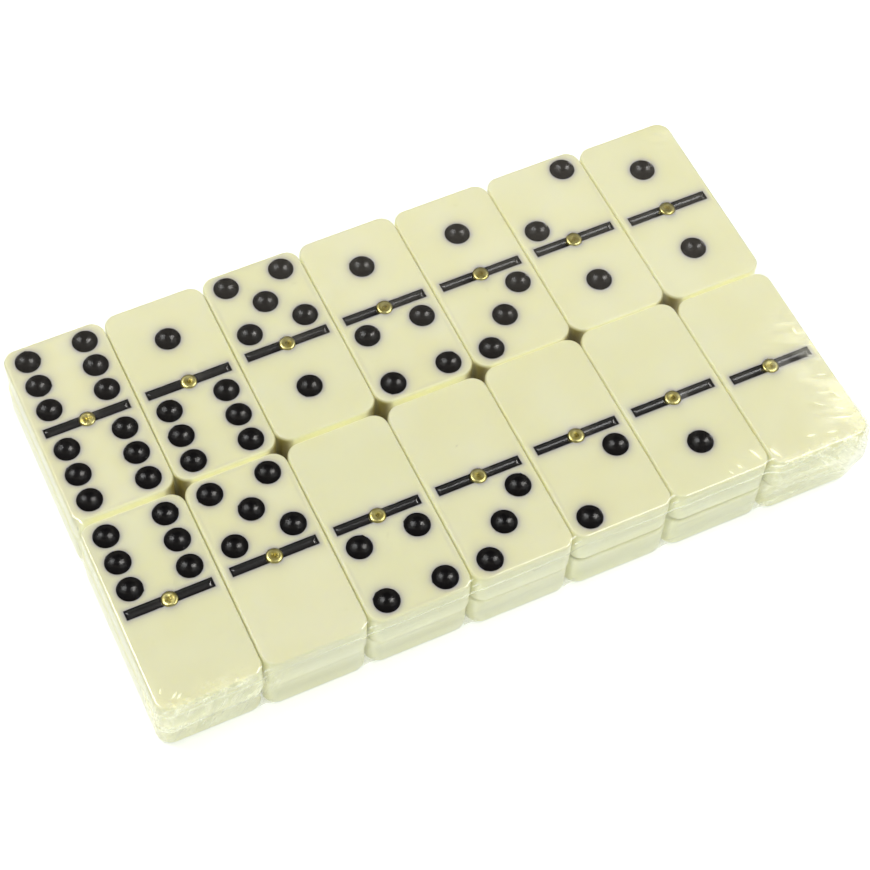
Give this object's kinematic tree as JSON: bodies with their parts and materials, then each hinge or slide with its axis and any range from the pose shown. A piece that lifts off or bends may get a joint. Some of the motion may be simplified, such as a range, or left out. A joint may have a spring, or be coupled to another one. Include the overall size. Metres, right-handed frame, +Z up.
{
  "type": "shrink-wrapped domino set",
  "caption": "Flat block of ivory dominoes in two layers, with dished black pips, centre grooves and brass spinners, sealed in clear shrink film.",
  "frame": {"origin": "middle of the pack's underside, on the surface that it lies on", "axes": "+X along the rows of seven tiles, +Y along the tiles, +Z up out of their faces"},
  "size_m": [0.1774, 0.1032, 0.0211],
  "materials": {
    "tile_ivory": "polished moulded resin, ivory",
    "spinner_brass": "bright turned brass",
    "film_clear": "clear shrink film, glossy",
    "pip_enamel": "glossy black enamel in the pips and grooves"
  },
  "bodies": {
    "tray": {"wrap_lower": "film_clear"},
    "cover": {"wrap_upper": "film_clear"},
    "domino_6_2": {"tile_6_2": "tile_ivory", "spinner_6_2": "spinner_brass"},
    "domino_5_2": {"tile_5_2": "tile_ivory", "spinner_5_2": "spinner_brass"},
    "domino_4_2": {"tile_4_2": "tile_ivory", "spinner_4_2": "spinner_brass"},
    "domino_3_2": {"tile_3_2": "tile_ivory", "spinner_3_2": "spinner_brass"},
    "domino_2_2": {"tile_2_2": "tile_ivory", "spinner_2_2": "spinner_brass"},
    "domino_6_3": {"tile_6_3": "tile_ivory", "spinner_6_3": "spinner_brass"},
    "domino_5_3": {"tile_5_3": "tile_ivory", "spinner_5_3": "spinner_brass"},
    "domino_3_3": {"tile_3_3": "tile_ivory", "spinner_3_3": "spinner_brass"},
    "domino_4_3": {"tile_4_3": "tile_ivory", "spinner_4_3": "spinner_brass"},
    "domino_4_4": {"tile_4_4": "tile_ivory", "spinner_4_4": "spinner_brass"},
    "domino_5_4": {"tile_5_4": "tile_ivory", "spinner_5_4": "spinner_brass"},
    "domino_6_4": {"tile_6_4": "tile_ivory", "spinner_6_4": "spinner_brass"},
    "domino_5_5": {"tile_5_5": "tile_ivory", "spinner_5_5": "spinner_brass"},
    "domino_6_5": {"tile_6_5": "tile_ivory", "spinner_6_5": "spinner_brass"},
    "domino_6_0": {"tile_6_0": "tile_ivory", "spinner_6_0": "spinner_brass"},
    "domino_5_0": {"tile_5_0": "tile_ivory", "spinner_5_0": "spinner_brass"},
    "domino_4_0": {"tile_4_0": "tile_ivory", "spinner_4_0": "spinner_brass"},
    "domino_3_0": {"tile_3_0": "tile_ivory", "spinner_3_0": "spinner_brass"},
    "domino_2_0": {"tile_2_0": "tile_ivory", "spinner_2_0": "spinner_brass"},
    "domino_1_0": {"tile_1_0": "tile_ivory", "spinner_1_0": "spinner_brass"},
    "domino_0_0": {"tile_0_0": "tile_ivory", "spinner_0_0": "spinner_brass"},
    "domino_6_6": {"tile_6_6": "tile_ivory", "spinner_6_6": "spinner_brass"},
    "domino_6_1": {"tile_6_1": "tile_ivory", "spinner_6_1": "spinner_brass"},
    "domino_5_1": {"tile_5_1": "tile_ivory", "spinner_5_1": "spinner_brass"},
    "domino_4_1": {"tile_4_1": "tile_ivory", "spinner_4_1": "spinner_brass"},
    "domino_3_1": {"tile_3_1": "tile_ivory", "spinner_3_1": "spinner_brass"},
    "domino_2_1": {"tile_2_1": "tile_ivory", "spinner_2_1": "spinner_brass"},
    "domino_1_1": {"tile_1_1": "tile_ivory", "spinner_1_1": "spinner_brass"}
  },
  "joints": [
    {"name": "cover_lift", "type": "slide", "parent": "tray", "child": "cover", "axis": [0, 0, 1], "range_m": [0, 0.12]},
    {"name": "domino_6_2_lift", "type": "slide", "parent": "tray", "child": "domino_6_2", "axis": [0, 0, 1], "range_m": [0, 0.03]},
    {"name": "domino_5_2_lift", "type": "slide", "parent": "tray", "child": "domino_5_2", "axis": [0, 0, 1], "range_m": [0, 0.03]},
    {"name": "domino_4_2_lift", "type": "slide", "parent": "tray", "child": "domino_4_2", "axis": [0, 0, 1], "range_m": [0, 0.03]},
    {"name": "domino_3_2_lift", "type": "slide", "parent": "tray", "child": "domino_3_2", "axis": [0, 0, 1], "range_m": [0, 0.03]},
    {"name": "domino_2_2_lift", "type": "slide", "parent": "tray", "child": "domino_2_2", "axis": [0, 0, 1], "range_m": [0, 0.03]},
    {"name": "domino_6_3_lift", "type": "slide", "parent": "tray", "child": "domino_6_3", "axis": [0, 0, 1], "range_m": [0, 0.03]},
    {"name": "domino_5_3_lift", "type": "slide", "parent": "tray", "child": "domino_5_3", "axis": [0, 0, 1], "range_m": [0, 0.03]},
    {"name": "domino_3_3_lift", "type": "slide", "parent": "tray", "child": "domino_3_3", "axis": [0, 0, 1], "range_m": [0, 0.03]},
    {"name": "domino_4_3_lift", "type": "slide", "parent": "tray", "child": "domino_4_3", "axis": [0, 0, 1], "range_m": [0, 0.03]},
    {"name": "domino_4_4_lift", "type": "slide", "parent": "tray", "child": "domino_4_4", "axis": [0, 0, 1], "range_m": [0, 0.03]},
    {"name": "domino_5_4_lift", "type": "slide", "parent": "tray", "child": "domino_5_4", "axis": [0, 0, 1], "range_m": [0, 0.03]},
    {"name": "domino_6_4_lift", "type": "slide", "parent": "tray", "child": "domino_6_4", "axis": [0, 0, 1], "range_m": [0, 0.03]},
    {"name": "domino_5_5_lift", "type": "slide", "parent": "tray", "child": "domino_5_5", "axis": [0, 0, 1], "range_m": [0, 0.03]},
    {"name": "domino_6_5_lift", "type": "slide", "parent": "tray", "child": "domino_6_5", "axis": [0, 0, 1], "range_m": [0, 0.03]},
    {"name": "domino_6_0_lift", "type": "slide", "parent": "tray", "child": "domino_6_0", "axis": [0, 0, 1], "range_m": [0, 0.072]},
    {"name": "domino_5_0_lift", "type": "slide", "parent": "tray", "child": "domino_5_0", "axis": [0, 0, 1], "range_m": [0, 0.072]},
    {"name": "domino_4_0_lift", "type": "slide", "parent": "tray", "child": "domino_4_0", "axis": [0, 0, 1], "range_m": [0, 0.072]},
    {"name": "domino_3_0_lift", "type": "slide", "parent": "tray", "child": "domino_3_0", "axis": [0, 0, 1], "range_m": [0, 0.072]},
    {"name": "domino_2_0_lift", "type": "slide", "parent": "tray", "child": "domino_2_0", "axis": [0, 0, 1], "range_m": [0, 0.072]},
    {"name": "domino_1_0_lift", "type": "slide", "parent": "tray", "child": "domino_1_0", "axis": [0, 0, 1], "range_m": [0, 0.072]},
    {"name": "domino_0_0_lift", "type": "slide", "parent": "tray", "child": "domino_0_0", "axis": [0, 0, 1], "range_m": [0, 0.072]},
    {"name": "domino_6_6_lift", "type": "slide", "parent": "tray", "child": "domino_6_6", "axis": [0, 0, 1], "range_m": [0, 0.072]},
    {"name": "domino_6_1_lift", "type": "slide", "parent": "tray", "child": "domino_6_1", "axis": [0, 0, 1], "range_m": [0, 0.072]},
    {"name": "domino_5_1_lift", "type": "slide", "parent": "tray", "child": "domino_5_1", "axis": [0, 0, 1], "range_m": [0, 0.072]},
    {"name": "domino_4_1_lift", "type": "slide", "parent": "tray", "child": "domino_4_1", "axis": [0, 0, 1], "range_m": [0, 0.072]},
    {"name": "domino_3_1_lift", "type": "slide", "parent": "tray", "child": "domino_3_1", "axis": [0, 0, 1], "range_m": [0, 0.072]},
    {"name": "domino_2_1_lift", "type": "slide", "parent": "tray", "child": "domino_2_1", "axis": [0, 0, 1], "range_m": [0, 0.072]},
    {"name": "domino_1_1_lift", "type": "slide", "parent": "tray", "child": "domino_1_1", "axis": [0, 0, 1], "range_m": [0, 0.072]}
  ],
  "couplings": [
    {"joint": "domino_6_2_lift", "follows": "cover_lift", "ratio": 0.25},
    {"joint": "domino_5_2_lift", "follows": "cover_lift", "ratio": 0.25},
    {"joint": "domino_4_2_lift", "follows": "cover_lift", "ratio": 0.25},
    {"joint": "domino_3_2_lift", "follows": "cover_lift", "ratio": 0.25},
    {"joint": "domino_2_2_lift", "follows": "cover_lift", "ratio": 0.25},
    {"joint": "domino_6_3_lift", "follows": "cover_lift", "ratio": 0.25},
    {"joint": "domino_5_3_lift", "follows": "cover_lift", "ratio": 0.25},
    {"joint": "domino_3_3_lift", "follows": "cover_lift", "ratio": 0.25},
    {"joint": "domino_4_3_lift", "follows": "cover_lift", "ratio": 0.25},
    {"joint": "domino_4_4_lift", "follows": "cover_lift", "ratio": 0.25},
    {"joint": "domino_5_4_lift", "follows": "cover_lift", "ratio": 0.25},
    {"joint": "domino_6_4_lift", "follows": "cover_lift", "ratio": 0.25},
    {"joint": "domino_5_5_lift", "follows": "cover_lift", "ratio": 0.25},
    {"joint": "domino_6_5_lift", "follows": "cover_lift", "ratio": 0.25},
    {"joint": "domino_6_0_lift", "follows": "cover_lift", "ratio": 0.6},
    {"joint": "domino_5_0_lift", "follows": "cover_lift", "ratio": 0.6},
    {"joint": "domino_4_0_lift", "follows": "cover_lift", "ratio": 0.6},
    {"joint": "domino_3_0_lift", "follows": "cover_lift", "ratio": 0.6},
    {"joint": "domino_2_0_lift", "follows": "cover_lift", "ratio": 0.6},
    {"joint": "domino_1_0_lift", "follows": "cover_lift", "ratio": 0.6},
    {"joint": "domino_0_0_lift", "follows": "cover_lift", "ratio": 0.6},
    {"joint": "domino_6_6_lift", "follows": "cover_lift", "ratio": 0.6},
    {"joint": "domino_6_1_lift", "follows": "cover_lift", "ratio": 0.6},
    {"joint": "domino_5_1_lift", "follows": "cover_lift", "ratio": 0.6},
    {"joint": "domino_4_1_lift", "follows": "cover_lift", "ratio": 0.6},
    {"joint": "domino_3_1_lift", "follows": "cover_lift", "ratio": 0.6},
    {"joint": "domino_2_1_lift", "follows": "cover_lift", "ratio": 0.6},
    {"joint": "domino_1_1_lift", "follows": "cover_lift", "ratio": 0.6}
  ]
}
